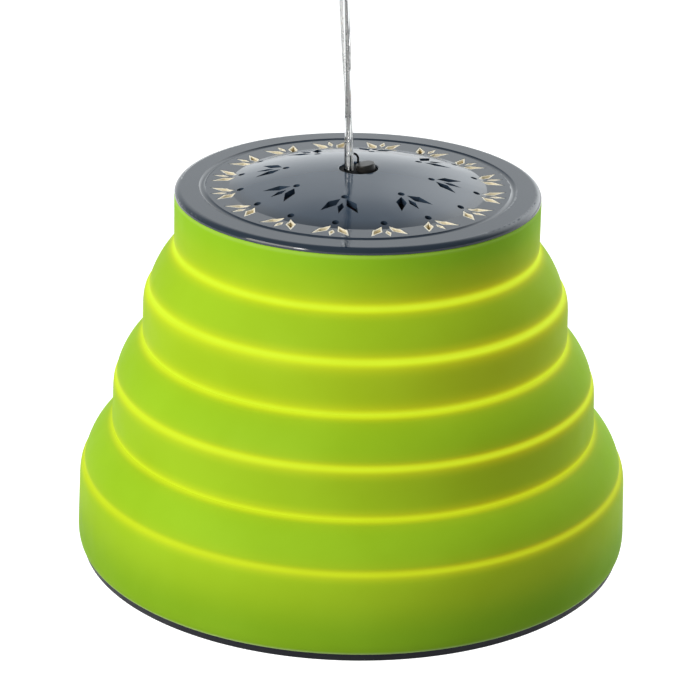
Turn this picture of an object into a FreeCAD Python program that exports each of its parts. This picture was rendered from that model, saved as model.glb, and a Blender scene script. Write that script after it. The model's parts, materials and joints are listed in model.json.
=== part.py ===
"""Folding pendant camping lantern: a silicone shade of four walls under a vented cap, hung on its clear flex.

Millimetres, +Z up. Every piece is drawn about the lamp's own axis, with z = 0 at the shade's resting rim,
and is then carried to the part's frame, whose origin is the centre of the hanging eye.
"""
import FreeCAD, Part
import math
import os

from FreeCAD import Placement, Rotation, Vector

# Shade: each wall's crest, shoulder and foot as (radius, height), from the top wall down
WALLS = [
    ((84.1, 173.1), (84.1, 165.0), (84.3, 148.5)),
    ((96.3, 128.4), (98.8, 119.2), (99.2, 104.7)),
    ((111.8, 85.1), (113.2, 75.0), (113.9, 61.4)),
    ((127.3, 42.1), (129.4, 33.0), (130.4, 9.0)),
]
HEM = (129.1, 3.8)         # lower edge of the last wall, where it turns in above the base ring
SKIN_BULGES = [1.5, 1.9, 2.3]    # how far each folding skin stands out from a straight cone
WALL_T = 2.6               # silicone of a wall, measured level
SKIN_T = 2.1               # silicone of a folding skin, measured level
FOLD_GAP = 0.3             # a skin stops this far above the wall that it folds onto

# Cap
RIM_R = 84.0               # rim, and the height where the silicone stops under it
RIM_Z = WALLS[0][0][1] + 0.1
DECK_Z = 176.1             # flat annulus on top
GROOVE_R, GROOVE_W, GROOVE_DEPTH = 71.3, 3.2, 0.75   # round-bottomed ring groove
DOME_R, DOME_RISE = 59.0, 9.2
CAP_T = 2.7                # plate thickness of deck and dome
HOLE_R, HOLE_EASE = 8.9, 0.5     # hole in the dome's middle, and the round of its edge
SKIRT_R, SKIRT_T, SKIRT_Z = 81.2, 2.2, 161.0
BOSS_AT, BOSS_R, BOSS_COUNT, BOSS_TURN = 74.6, 3.5, 4, 45.0
LIP_IN, LIP_T = 78.4, 2.6  # silicone lip that the tray clamps under the skirt

# Vents: sprigs of a round dot, two long petals and a short one
OUTER_VENTS, OUTER_DOT_AT = 16, 54.7
INNER_VENTS, INNER_DOT_AT = 8, 33.8
VENT_TURN = -10.1          # degrees from the front to the first sprig
DOT_R = 1.55
LONG_PETAL = (2.2, 1.5, 34.0, 12.6, 4.9)     # start beyond the dot, side step, turn, length, width
SHORT_PETAL = (5.4, 0.0, 0.0, 8.6, 3.0)
LINER_IN, LINER_OUT, LINER_T = 55.9, 70.2, 3.0
LINER_Z = DECK_Z - CAP_T - 0.1   # upper face of the liner's plate, just under the cap
LINER_GAP, LINER_EDGE = 0.1, 0.75     # the liner's petal frames: gap to the cap, and that gap plus their wall

# Centre bezel, button and loop
FLOOR_Z = 184.2            # bezel's upper face, a little below the dome's edge
BEZEL_R, BEZEL_T = 8.75, 5.2
BUTTON_X, BUTTON_R, BUTTON_UP, BUTTON_DOWN = 3.5, 4.3, 3.1, 3.4
BUTTON_LEAN = 10.0         # degrees, towards the flex
BUTTON_EASE = 0.45
STEM_R = 1.5
SWITCH_TOP, SWITCH_SIZE, SWITCH_H = -9.0, 9.0, 7.5   # along the button's own axis
LOOP_X, LOOP_Y, LOOP_R, LOOP_WIRE_R, LOOP_LEG = -2.8, 4.1, 2.5, 0.5, 3.9

# Flex: flat twin, leaning a little because the lamp hangs from beside its middle
FLEX_X = -4.4
FLEX_LEAN = 2.8            # degrees
FLEX_WIDE, FLEX_THICK = 4.6, 3.4
FLEX_END_Z = 166.0         # sheath's lower end, inside the cap
CORE_STEP = 1.1            # each core's distance from the flex's middle

# Hanger block and swivel eye
BLOCK_Z, BLOCK_H, BLOCK_W, BLOCK_D = 272.0, 30.0, 30.0, 15.0
BLOCK_WALL, BLOCK_ROUND = 2.2, 3.5
GRIP_H = 7.5
SHANK_R, SHANK_GAP, HEAD_R, HEAD_H = 2.5, 0.05, 4.2, 2.4
EYE_R, EYE_OUT, EYE_T, EYE_RISE = 5.0, 8.6, 4.0, 9.6
EYE_Z = BLOCK_Z + BLOCK_H + EYE_RISE
EYE_X = FLEX_X - (EYE_Z - FLOOR_Z) * math.tan(math.radians(FLEX_LEAN))
INLET_Z, INLET_R, INLET_BORE_R, INLET_L, INLET_DEPTH = 290.0, 4.4, 2.8, 11.5, 9.5
INLET_PIN_R = 1.0
SHELL_SCREWS = [(-10.6, BLOCK_Z + BLOCK_H - 5.2), (10.6, BLOCK_Z + 5.2)]   # beside the eye, and height
SHELL_SCREW_R, SHELL_HEAD_R, SHELL_HEAD_H = 1.1, 2.1, 1.5

# Light tray and what it carries
TRAY_R, TRAY_Z, TRAY_T = SKIRT_R, 155.4, 2.5
DISH_R, DISH_FLOOR, DISH_T = 70.0, 147.5, 2.0
SCREW_R = 1.45             # tray screws
LED_BOARD_R, LED_BOARD_T = 58.0, 1.6
LED_SCREW_AT, LED_SCREW_R, LED_SCREW_TURN = 36.0, 1.3, 30.0
LED_WIRE_HOLE = (-8.0, -30.0)
CHIP, CHIP_H = 3.5, 1.2
LED_RINGS = [(48.0, 16), (24.0, 8)]
DIFFUSER_R, DIFFUSER_RIM, DIFFUSER_SAG, DIFFUSER_T = 66.5, 6.0, 7.0, 2.0
BOARD_L, BOARD_W, BOARD_T, BOARD_Z = 74.0, 46.0, 1.6, 152.5
BOARD_Y = 6.0
POST_R, POST_SCREW_R = 3.0, 1.1
TERMINAL_X, TERMINAL_Y, TERMINAL_PITCH, MOUTH_UP = -22.0, 2.0, 5.6, 5.0
LEAD_R, THIN_LEAD_R = 0.9, 0.75

# Base ring
BASE_R, BASE_IN, BASE_T = 128.3, 121.5, 2.2
BASE_EASE = 0.8            # round of the lower outer edge
UPSTAND_T, UPSTAND_Z = 2.2, 11.0

UP, ACROSS, BACK = Vector(0, 0, 1), Vector(1, 0, 0), Vector(0, 1, 0)
ORIGIN = Vector(0, 0, 0)
TO_EYE = Vector(-EYE_X, 0, -EYE_Z)
EASED = 1 - math.cos(math.pi / 4)    # how far a rounded corner's middle stays in, of its radius


# ---------------------------------------------------------------- helpers

def save(node, *solids):
    """Carry a node's solids to the part's frame and write them."""
    shape = solids[0] if len(solids) == 1 else Part.makeCompound(list(solids))
    shape = shape.copy()
    shape.translate(TO_EYE)
    assert shape.isValid(), node
    shape.exportStep(f"parts/{node}.step")
    print(f"{node:22s} solids {len(shape.Solids):3d}  volume {shape.Volume:10.1f}")


def outline(start, *steps):
    """Closed face in the XZ plane. A step is a point, for a line, or (middle, end), for an arc."""
    edges, here = [], start
    for step in steps + (start,):
        if isinstance(step[0], tuple):
            middle, end = step
            edges.append(Part.Arc(*(Vector(x, 0, z) for x, z in (here, middle, end))).toShape())
        else:
            end = step
            edges.append(Part.LineSegment(Vector(here[0], 0, here[1]), Vector(end[0], 0, end[1])).toShape())
        here = end
    return Part.Face(Part.Wire(edges))


def turned(start, *steps):
    """Solid of revolution about the lamp's axis."""
    return outline(start, *steps).revolve(ORIGIN, UP, 360)


def rod(radius, low, high, x=0.0, y=0.0):
    return Part.makeCylinder(radius, high - low, Vector(x, y, low), UP)


def block(size_x, size_y, size_z, x, y, low):
    """Box centred on x and y, standing on low."""
    return Part.makeBox(size_x, size_y, size_z, Vector(x - size_x / 2, y - size_y / 2, low))


def spun(shape, degrees):
    turned_copy = shape.copy()
    turned_copy.rotate(ORIGIN, UP, degrees)
    return turned_copy


def around(shape, count, first=0.0):
    return [spun(shape, first + 360.0 * i / count) for i in range(count)]


def sphere_radius(half_width, rise):
    return (half_width ** 2 + rise ** 2) / (2 * rise)


def lead(points, radius=LEAD_R):
    """Round lead: straight runs joined by tangent arcs, each as large as its runs allow."""
    spots = [Vector(*p) for p in points]
    edges, here = [], spots[0]
    for before, corner, after in zip(spots, spots[1:], spots[2:]):
        towards = (corner - before).normalize()
        away = (after - corner).normalize()
        reach = 0.45 * min((corner - before).Length, (after - corner).Length)
        half = towards.getAngle(away) / 2
        start, end = corner - towards * reach, corner + away * reach
        inward = (away - towards).normalize()
        middle = corner + inward * (reach * math.tan(half / 2))
        edges += [Part.LineSegment(here, start).toShape(), Part.Arc(start, middle, end).toShape()]
        here = end
    edges.append(Part.LineSegment(here, spots[-1]).toShape())
    first = (spots[1] - spots[0]).normalize()
    ring = Part.Wire([Part.makeCircle(radius, spots[0], first)])
    return Part.Wire(edges).makePipeShell([ring], True, False)


# ---------------------------------------------------------------- shade

def inward(point, thickness=WALL_T):
    return (point[0] - thickness, point[1])


def quarter(start, end):
    """Middle point of a rounded shoulder that leaves start flat and reaches end upright."""
    return (start[0] + (end[0] - start[0]) * math.sin(math.pi / 4),
            end[1] + (start[1] - end[1]) * math.cos(math.pi / 4))


def wall(index):
    """One standing wall: rounded shoulder under the crest, then nearly straight down to the foot."""
    crest, shoulder, foot = WALLS[index]
    bow = quarter(crest, shoulder)
    outside = [(bow, shoulder), foot]
    inside = [inward(foot), inward(shoulder), (inward(bow), inward(crest))]
    if index == len(WALLS) - 1:
        turn = quarter(HEM, foot)
        outside += [(turn, HEM)]
        inside = [inward(HEM), (inward(turn), inward(foot))] + inside[1:]
    return turned(crest, *outside, *inside)


def top_wall():
    """The first wall is straight, with a lip inside that the tray clamps under the cap's skirt."""
    (r, top), _, foot = WALLS[0]
    inside = r - WALL_T
    lip = SKIRT_Z - 0.2
    return turned((r, top), foot, inward(foot), (inside, lip - LIP_T), (LIP_IN, lip - LIP_T),
                  (LIP_IN, lip), (inside, lip), (inside, top))


def fold_skin(index):
    """Skin from a wall's foot out and down to the next wall's crest, standing out a little from a cone."""
    foot, crest = WALLS[index][2], WALLS[index + 1][0]
    reach, drop = crest[0] - foot[0], foot[1] - crest[1]
    length = math.hypot(reach, drop)
    bulge = SKIN_BULGES[index]
    middle = (foot[0] + reach / 2 + bulge * drop / length, foot[1] - drop / 2 + bulge * reach / length)
    end = (crest[0] - FOLD_GAP * reach / drop, crest[1] + FOLD_GAP)
    return turned(foot, (middle, end), inward(end, SKIN_T), (inward(middle, SKIN_T), inward(foot, SKIN_T)))


def base_ring():
    """Stiff ring under the lowest wall, with an upstand inside the silicone."""
    foot_r, foot_z = HEM
    upstand = foot_r - WALL_T - 0.3
    return turned((foot_r, foot_z - 0.1), (BASE_R, BASE_EASE),
                  ((BASE_R - EASED * BASE_EASE, EASED * BASE_EASE), (BASE_R - BASE_EASE, 0.0)),
                  (BASE_IN, 0.0), (BASE_IN, BASE_T), (upstand - UPSTAND_T, BASE_T),
                  (upstand - UPSTAND_T, UPSTAND_Z), (upstand, UPSTAND_Z), (upstand, foot_z - 0.1))


# ---------------------------------------------------------------- cap and vents

def kite(length, width, margin):
    """Corners of a kite along x, widest at two fifths of its length, each side drawn in by margin."""
    half, widest = width / 2, 0.4 * length
    near, far = math.hypot(widest, half), math.hypot(length - widest, half)
    inradius = length * half / (near + far)
    centre, keep = inradius * near / half, 1 - margin / inradius
    corners = [(0, 0), (widest, half), (length, 0), (widest, -half), (0, 0)]
    return [Vector(centre + (x - centre) * keep, y * keep, 0) for x, y in corners]


def petal(dot_at, start, side, degrees, length, width, margin=0.0):
    """Upright kite-shaped prism, right through the cap, of the sprig whose dot is on +X at dot_at."""
    outline_wire = Part.makePolygon(kite(length, width, margin))
    outline_wire.Placement = Placement(Vector(dot_at + start, side, LINER_Z - 10), Rotation(UP, degrees))
    return Part.Face(outline_wire).extrude(UP * 40)


def petals(dot_at, count, margin=0.0):
    """Two long petals and a short one for each sprig of a ring."""
    start, side, degrees, length, width = LONG_PETAL
    shapes = [petal(dot_at, start, sign * side, sign * degrees, length, width, margin) for sign in (-1, 1)]
    shapes.append(petal(dot_at, *SHORT_PETAL, margin))
    return [turned_copy for shape in shapes for turned_copy in around(shape, count, VENT_TURN - 90)]


def dots(dot_at, count):
    return around(rod(DOT_R, LINER_Z - 10, LINER_Z + 30, dot_at), count, VENT_TURN - 90)


DOME_SPHERE = sphere_radius(DOME_R, DOME_RISE)
DOME_CENTRE = DECK_Z + DOME_RISE - DOME_SPHERE


def over(r, drop=0.0):
    """Point of the dome's upper face at radius r, or of the face that lies drop beneath it."""
    return (r, DOME_CENTRE + math.sqrt((DOME_SPHERE - drop) ** 2 - r ** 2))


def top_cap():
    """Rim, groove, deck and dome as one moulding, with a skirt and screw bosses below and pierced vents."""
    below = DECK_Z - CAP_T
    foot = math.sqrt((DOME_SPHERE - CAP_T) ** 2 - (below - DOME_CENTRE) ** 2)
    half = GROOVE_W / 2
    hole_top = over(HOLE_R + HOLE_EASE)
    ease = (HOLE_R + EASED * HOLE_EASE, hole_top[1] - EASED * HOLE_EASE)
    cap = turned((HOLE_R, hole_top[1] - HOLE_EASE), (ease, hole_top),
                 (over(DOME_R * 0.6), (DOME_R, DECK_Z)), (GROOVE_R - half, DECK_Z),
                 ((GROOVE_R, DECK_Z - GROOVE_DEPTH), (GROOVE_R + half, DECK_Z)), (RIM_R - 2.8, DECK_Z),
                 ((RIM_R - 0.75, DECK_Z - 0.8), (RIM_R, RIM_Z + 0.9)), (RIM_R, RIM_Z), (SKIRT_R, RIM_Z),
                 (SKIRT_R, SKIRT_Z), (SKIRT_R - SKIRT_T, SKIRT_Z), (SKIRT_R - SKIRT_T, below), (foot, below),
                 (over(DOME_R * 0.6, CAP_T), over(HOLE_R, CAP_T)))
    boss = rod(BOSS_R, TRAY_Z + TRAY_T + 0.1, below + 1.0, BOSS_AT)
    cap = cap.fuse(around(boss, BOSS_COUNT, BOSS_TURN))
    cuts = around(rod(SCREW_R, TRAY_Z, SKIRT_Z + 6.0, BOSS_AT), BOSS_COUNT, BOSS_TURN)
    for at, count in ((OUTER_DOT_AT, OUTER_VENTS), (INNER_DOT_AT, INNER_VENTS)):
        cuts += petals(at, count) + dots(at, count)
    return cap.cut(cuts).removeSplitter()


def vent_liner():
    """Cream plate under the deck, with a frame up through each outer petal, level with the cap."""
    plate = turned((LINER_IN, LINER_Z), (LINER_OUT, LINER_Z), (LINER_OUT, LINER_Z - LINER_T),
                   (LINER_IN, LINER_Z - LINER_T))
    under_face = turned((LINER_IN, LINER_Z - 1), (LINER_OUT, LINER_Z - 1), (LINER_OUT, DECK_Z - LINER_GAP),
                        (DOME_R, DECK_Z - LINER_GAP), over(LINER_IN, LINER_GAP))
    frames = [shape.common(under_face) for shape in petals(OUTER_DOT_AT, OUTER_VENTS, LINER_GAP)]
    slots = petals(OUTER_DOT_AT, OUTER_VENTS, LINER_EDGE) + dots(OUTER_DOT_AT, OUTER_VENTS)
    return plate.fuse(frames).cut(slots).removeSplitter()


# ---------------------------------------------------------------- flex, bezel, button

def flex(extra=0.0, low=FLEX_END_Z, high=BLOCK_Z + BLOCK_WALL + GRIP_H):
    """The flat twin flex as an oval rod on its leaning line; extra makes it that much larger all round."""
    oval = Part.Ellipse(ORIGIN, FLEX_WIDE / 2 + extra, FLEX_THICK / 2 + extra)
    length = (high - low) / math.cos(math.radians(FLEX_LEAN))
    rod_up = Part.Face(Part.Wire([oval.toShape()])).extrude(UP * length)
    rod_up.translate(Vector(0, 0, low - FLOOR_Z))
    rod_up.rotate(ORIGIN, BACK, -FLEX_LEAN)
    rod_up.translate(Vector(FLEX_X, 0, FLOOR_Z))
    return rod_up


def on_button_axis(shape):
    """Carry a piece drawn about z, from the bezel's face, onto the button's leaning axis."""
    moved = shape.copy()
    moved.rotate(ORIGIN, BACK, -BUTTON_LEAN)
    moved.translate(Vector(BUTTON_X, 0, FLOOR_Z))
    return moved


def retaining_loop():
    """Wire arch beside the flex, its legs set in the bezel."""
    left, right = LOOP_X - LOOP_R, LOOP_X + LOOP_R
    base, top = FLOOR_Z - 2.5, FLOOR_Z + LOOP_LEG
    spots = [Vector(left, LOOP_Y, base), Vector(left, LOOP_Y, top), Vector(LOOP_X, LOOP_Y, top + LOOP_R),
             Vector(right, LOOP_Y, top), Vector(right, LOOP_Y, base)]
    path = Part.Wire([Part.LineSegment(spots[0], spots[1]).toShape(), Part.Arc(*spots[1:4]).toShape(),
                      Part.LineSegment(spots[3], spots[4]).toShape()])
    ring = Part.Wire([Part.makeCircle(LOOP_WIRE_R, spots[0], UP)])
    return path.makePipeShell([ring], True, False)


def centre_bezel():
    """Insert in the dome's hole, with a flange that the flex's pull seats against the dome."""
    flange_top = FLOOR_Z - 2.1
    flange_r = BEZEL_R + 3.6
    plate = turned((0, FLOOR_Z), (BEZEL_R, FLOOR_Z), (BEZEL_R, flange_top), (flange_r, flange_top - 0.25),
                   (flange_r, flange_top - 1.9), (BEZEL_R, flange_top - 1.9), (BEZEL_R, FLOOR_Z - BEZEL_T),
                   (0, FLOOR_Z - BEZEL_T))
    legs = [on_button_axis(block(6.0, 1.4, 9.5, 0, side * (SWITCH_SIZE / 2 + 0.75), SWITCH_TOP - 4.0))
            for side in (-1, 1)]
    bore = on_button_axis(rod(BUTTON_R + 0.3, -12, 3))
    return plate.fuse(legs).cut([bore, flex(0.25), retaining_loop()]).removeSplitter()


def push_button():
    """Round cap with an eased edge, and the stem that works the switch."""
    corner = EASED * BUTTON_EASE
    cap = turned((0, BUTTON_UP), (BUTTON_R - BUTTON_EASE, BUTTON_UP),
                 ((BUTTON_R - corner, BUTTON_UP - corner), (BUTTON_R, BUTTON_UP - BUTTON_EASE)),
                 (BUTTON_R, -BUTTON_DOWN), (STEM_R, -BUTTON_DOWN), (STEM_R, SWITCH_TOP - 2.0),
                 (0, SWITCH_TOP - 2.0))
    return on_button_axis(cap)


def button_spring():
    """Coil round the stem, between the button's underside and the switch."""
    wire_r, coil_r, turns = 0.3, 2.5, 4
    low, high = SWITCH_TOP + wire_r + 0.1, -BUTTON_DOWN - wire_r - 0.1
    helix = Part.makeHelix((high - low) / turns, high - low, coil_r)
    ring = Part.Wire([Part.makeCircle(wire_r, ACROSS * coil_r, BACK)])
    coil = Part.Wire(helix).makePipeShell([ring], True, True)
    coil.translate(Vector(0, 0, low))
    return on_button_axis(coil)


def switch_body():
    """Latching push switch with a clearance bore for the stem and two pins below."""
    body = block(SWITCH_SIZE, SWITCH_SIZE - 0.2, SWITCH_H, 0, 0, SWITCH_TOP - SWITCH_H)
    body = body.cut(rod(STEM_R + 0.3, SWITCH_TOP - 4.2, SWITCH_TOP + 1))
    pins = [block(1.2, 0.5, 2.5, side * 2.5, 0, SWITCH_TOP - SWITCH_H - 2.0) for side in (-1, 1)]
    return on_button_axis(body.fuse(pins))


def cord_bush():
    """Collar crimped on the flex under the bezel: it carries the lamp's weight."""
    top = FLOOR_Z - BEZEL_T - 0.05
    collar = turned((0, top), (3.9, top), (4.4, top - 0.6), (4.4, top - 5.0), (3.6, top - 7.0),
                    (0, top - 7.0))
    x = FLEX_X + (FLOOR_Z - top + 3.5) * math.tan(math.radians(FLEX_LEAN))
    collar.translate(Vector(x, 0, 0))
    switch_side = on_button_axis(block(SWITCH_SIZE + 1.2, 14, 30, 0, 0, -25))
    return collar.cut([flex(), switch_side])


# ---------------------------------------------------------------- light tray

def light_tray():
    """Flanged dish: the flange clamps the shade's lip, the floor carries both boards."""
    floor_top = DISH_FLOOR + DISH_T
    tray = turned((0, floor_top), (DISH_R - DISH_T, floor_top), (DISH_R - DISH_T, TRAY_Z + TRAY_T),
                  (TRAY_R, TRAY_Z + TRAY_T), (TRAY_R, TRAY_Z), (DISH_R, TRAY_Z), (DISH_R, DISH_FLOOR),
                  (0, DISH_FLOOR))
    posts = [rod(POST_R, floor_top - 0.5, BOARD_Z, x, y) for x, y in board_corners()]
    holes = around(rod(SCREW_R + 0.15, TRAY_Z - 1, TRAY_Z + TRAY_T + 1, BOSS_AT), BOSS_COUNT, BOSS_TURN)
    holes += [rod(POST_SCREW_R, floor_top - 1.0, BOARD_Z + 1, x, y) for x, y in board_corners()]
    holes += around(rod(LED_SCREW_R, DISH_FLOOR - 1, floor_top + 1, LED_SCREW_AT), 3, LED_SCREW_TURN)
    holes.append(rod(3.2, DISH_FLOOR - 1, floor_top + 1, *LED_WIRE_HOLE))
    return tray.fuse(posts).cut(holes).removeSplitter()


def board_corners():
    return [(x * (BOARD_L / 2 - 4), BOARD_Y + y * (BOARD_W / 2 - 4)) for x in (-1, 1) for y in (-1, 1)]


def screw(head_r, head_h, shank_r, length, head_down=True):
    """Cross-recessed screw about z, the head's bearing face at z = 0 and the shank away from the head."""
    head = Part.makeCylinder(head_r, head_h, Vector(0, 0, -head_h))
    shank = Part.makeCylinder(shank_r, length)
    bars = ((head_r, 0.6), (0.6, head_r))
    cross = [Part.makeBox(a, b, 0.9, Vector(-a / 2, -b / 2, -head_h)) for a, b in bars]
    whole = head.fuse(shank).cut(cross)
    if not head_down:
        whole.rotate(ORIGIN, ACROSS, 180)
    return whole


def placed(shape, x, y, z):
    moved = shape.copy()
    moved.translate(Vector(x, y, z))
    return moved


def tray_screws():
    one = placed(screw(2.8, 2.2, SCREW_R, 11.0), BOSS_AT, 0, TRAY_Z)
    return around(one, BOSS_COUNT, BOSS_TURN)


def driver_screws():
    one = screw(2.2, 1.6, POST_SCREW_R, 4.0, head_down=False)
    return [placed(one, x, y, BOARD_Z + BOARD_T) for x, y in board_corners()]


def led_screws():
    one = placed(screw(2.4, 1.3, LED_SCREW_R, 3.0), LED_SCREW_AT, 0, DISH_FLOOR - LED_BOARD_T - 0.1)
    return around(one, 3, LED_SCREW_TURN)


def led_board():
    top = DISH_FLOOR - 0.1
    disc = rod(LED_BOARD_R, top - LED_BOARD_T, top)
    holes = around(rod(LED_SCREW_R + 0.05, top - 5, top + 1, LED_SCREW_AT), 3, LED_SCREW_TURN)
    return disc.cut(holes)


def led_chips():
    top = DISH_FLOOR - 0.1 - LED_BOARD_T
    chips = []
    for radius, count in LED_RINGS:
        chips += around(block(CHIP, CHIP, CHIP_H, radius, 0, top - CHIP_H), count)
    return chips


def diffuser():
    """Opal dish pushed up over the lights."""
    top = DISH_FLOOR - 0.1
    low = top - DIFFUSER_RIM
    radius = sphere_radius(DIFFUSER_R, DIFFUSER_SAG)
    centre = low - DIFFUSER_SAG + radius
    inner_r = DIFFUSER_R - DIFFUSER_T

    def sagging(r, sphere):
        return (r, centre - math.sqrt(sphere ** 2 - r ** 2))
    inner_sphere = radius - DIFFUSER_T
    return turned((0, low - DIFFUSER_SAG), (sagging(DIFFUSER_R / 2, radius), (DIFFUSER_R, low)),
                  (DIFFUSER_R, top), (inner_r, top), sagging(inner_r, inner_sphere),
                  (sagging(inner_r / 2, inner_sphere), (0, low - DIFFUSER_SAG + DIFFUSER_T)))


def driver_board():
    board = block(BOARD_L, BOARD_W, BOARD_T, 0, BOARD_Y, BOARD_Z)
    return board.cut([rod(POST_SCREW_R, BOARD_Z - 1, BOARD_Z + 3, x, y) for x, y in board_corners()])


def driver_parts():
    """Transformer, two capacitors, a ring choke and a small row of power devices."""
    top = BOARD_Z + BOARD_T
    transformer = block(16, 15, 9, 22, 14, top).fuse(block(11, 18, 6, 22, 14, top + 1.5))
    capacitors = [rod(4.0, top, top + 11.0, 24 - 10 * i, -6) for i in range(2)]
    choke = Part.makeTorus(5.0, 2.0, Vector(-2, 19, top + 2.1), UP)
    devices = [block(5, 4, 1.8, -14 - 8 * i, 20, top) for i in range(3)]
    return [transformer, *capacitors, choke, *devices]


def terminal_block():
    """Two-way push-in terminal on the board, its wire mouths facing the flex."""
    top = BOARD_Z + BOARD_T
    body = block(10, 12, 9.5, TERMINAL_X, TERMINAL_Y, top)
    spots = [Vector(TERMINAL_X + 1, mouth_y(side), top + MOUTH_UP) for side in (-1, 1)]
    mouths = [Part.makeCylinder(LEAD_R + 0.1, 5, spot, ACROSS) for spot in spots]
    return body.cut(mouths)


def mouth_y(side):
    return TERMINAL_Y + side * TERMINAL_PITCH / 2


def flex_point(z):
    return FLEX_X + (FLOOR_Z - z) * math.tan(math.radians(FLEX_LEAN))


def flex_cores():
    """The flex's two cores, from the sheath's end into the terminal's mouths."""
    x, mouth_z = flex_point(FLEX_END_Z), BOARD_Z + BOARD_T + MOUTH_UP
    cores = []
    for side in (-1, 1):
        core_x, y = x + side * CORE_STEP, mouth_y(side)
        cores.append(lead([(core_x, 0, FLEX_END_Z - 0.4), (core_x, y * 0.4, FLEX_END_Z - 4),
                           (x - 5, y, mouth_z), (TERMINAL_X + 1.2, y, mouth_z)]))
    return cores


def switch_leads():
    """Two leads from the switch's pins down to the board."""
    leads = []
    for side in (-1, 1):
        pin = on_button_axis(Part.Vertex(side * 2.5, 0, SWITCH_TOP - SWITCH_H - 2.0)).Point
        leads.append(lead([(pin.x, 0, pin.z - 0.3), (pin.x + 0.6, 0.8 * side + 2, pin.z - 4.5),
                           (pin.x + 1.5, 5 + side, BOARD_Z + BOARD_T + 0.3)], THIN_LEAD_R))
    return leads


def led_leads():
    """Two leads from the driver board, over its edge and through the tray's floor to the lights."""
    hole_x, y = LED_WIRE_HOLE
    pad_y, top = BOARD_Y - BOARD_W / 2 + 4, BOARD_Z + BOARD_T
    leads = []
    for side in (-1, 1):
        x = hole_x + side * 1.3
        leads.append(lead([(x, pad_y, top), (x, pad_y, top + 5), (x, y, top + 5), (x, y, DISH_FLOOR - 0.1)],
                          THIN_LEAD_R))
    return leads


# ---------------------------------------------------------------- hanger block

def rounded_box(width, depth, height, low, corner):
    solid = block(width, depth, height, EYE_X, 0, low)
    return solid.makeFillet(corner, solid.Edges)


def cavity():
    wide, deep = BLOCK_W - 2 * BLOCK_WALL, BLOCK_D - 2 * BLOCK_WALL
    return block(wide, deep, BLOCK_H - 2 * BLOCK_WALL, EYE_X, 0, BLOCK_Z + BLOCK_WALL)


def through(radius, length, x, y, z, direction):
    return Part.makeCylinder(radius, length, Vector(EYE_X + x, y, z), direction)


def hanger_half(side):
    """Half of the block's shell on one side of its middle plane: side is -1 for the front, 1 for the back."""
    front, back = -BLOCK_D / 2, BLOCK_D / 2
    inside = block(BLOCK_W - 2, BLOCK_D, BLOCK_H, EYE_X, 0, BLOCK_Z)
    shell = rounded_box(BLOCK_W, BLOCK_D, BLOCK_H, BLOCK_Z, BLOCK_ROUND).cut(cavity())
    bosses = [through(2.7, BLOCK_D - 2, x, front + 1, z, BACK) for x, z in SHELL_SCREWS]
    shell = shell.fuse([boss.common(inside) for boss in bosses])
    holes = [rod(SHANK_R + SHANK_GAP, BLOCK_Z + BLOCK_H - 6, BLOCK_Z + BLOCK_H + 2, EYE_X), flex(0.25),
             through(INLET_R, 20, 3.0, 0, INLET_Z, ACROSS)]
    for x, z in SHELL_SCREWS:
        holes += [through(SHELL_SCREW_R, BLOCK_D - 3, x, front + 2.2, z, BACK),
                  through(SHELL_HEAD_R + 0.1, 4, x, back - 1.8, z, BACK)]
    keep = block(BLOCK_W + 2, BLOCK_D, BLOCK_H + 2, EYE_X, side * BLOCK_D / 2, BLOCK_Z - 1)
    return shell.cut(holes).common(keep).removeSplitter()


def hanger_screws():
    screws = []
    for x, z in SHELL_SCREWS:
        one = screw(SHELL_HEAD_R, SHELL_HEAD_H, SHELL_SCREW_R, 9.5)
        one.rotate(ORIGIN, ACROSS, 90)
        screws.append(placed(one, EYE_X + x, BLOCK_D / 2 - 1.8, z))
    return screws


def hanger_grip():
    """Clamp that holds the flex inside the block."""
    low = BLOCK_Z + BLOCK_WALL + 0.1
    return block(12, 9, GRIP_H - 0.2, EYE_X, 0, low).cut(flex())


def swivel_eye():
    """Ring, shank and captive head in one forging; the head turns in the block."""
    top = BLOCK_Z + BLOCK_H
    ring = through(EYE_OUT, EYE_T, 0, -EYE_T / 2, EYE_Z, BACK)
    ring = ring.makeFillet(1.2, [edge for edge in ring.Edges if edge.Length > 2 * EYE_OUT])
    neck = rod(SHANK_R, top - BLOCK_WALL - 1, EYE_Z - EYE_R - 0.6, EYE_X)
    collar = rod(3.4, top + 0.3, top + 1.3, EYE_X)
    head = rod(HEAD_R, top - BLOCK_WALL - 0.2 - HEAD_H, top - BLOCK_WALL - 0.2, EYE_X)
    bore = through(EYE_R, EYE_T + 2, 0, -EYE_T / 2 - 1, EYE_Z, BACK)
    return ring.fuse([neck, collar, head]).cut(bore).removeSplitter()


def inlet_rod(radius, length):
    """Cylinder on the inlet's axis that ends level with the block's side."""
    return through(radius, length, BLOCK_W / 2 - length, 0, INLET_Z, ACROSS)


def supply_inlet():
    """Barrel socket for the plug-in lead, flush with the block's side."""
    return inlet_rod(INLET_R - 0.05, INLET_L).cut([inlet_rod(INLET_BORE_R, INLET_DEPTH), inlet_pin()])


def inlet_pin():
    """Centre pin, from just behind the barrel to just inside its mouth."""
    return through(INLET_PIN_R, INLET_L, BLOCK_W / 2 - INLET_L - 1, 0, INLET_Z, ACROSS)


def hanger_leads():
    """The flex's two cores, from the grip up to the back of the inlet."""
    low = BLOCK_Z + BLOCK_WALL + GRIP_H
    back = EYE_X + BLOCK_W / 2 - INLET_L
    x = flex_point(low)
    leads = []
    for side in (-1, 1):
        core_x, y = x + side * CORE_STEP, side * 2.6
        leads.append(lead([(core_x, 0, low + 0.3), (core_x - 1, 0, low + 3), (x - 3.5, y, INLET_Z - 1.5),
                           (back - 0.3, y, INLET_Z)], THIN_LEAD_R))
    return leads


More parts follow.
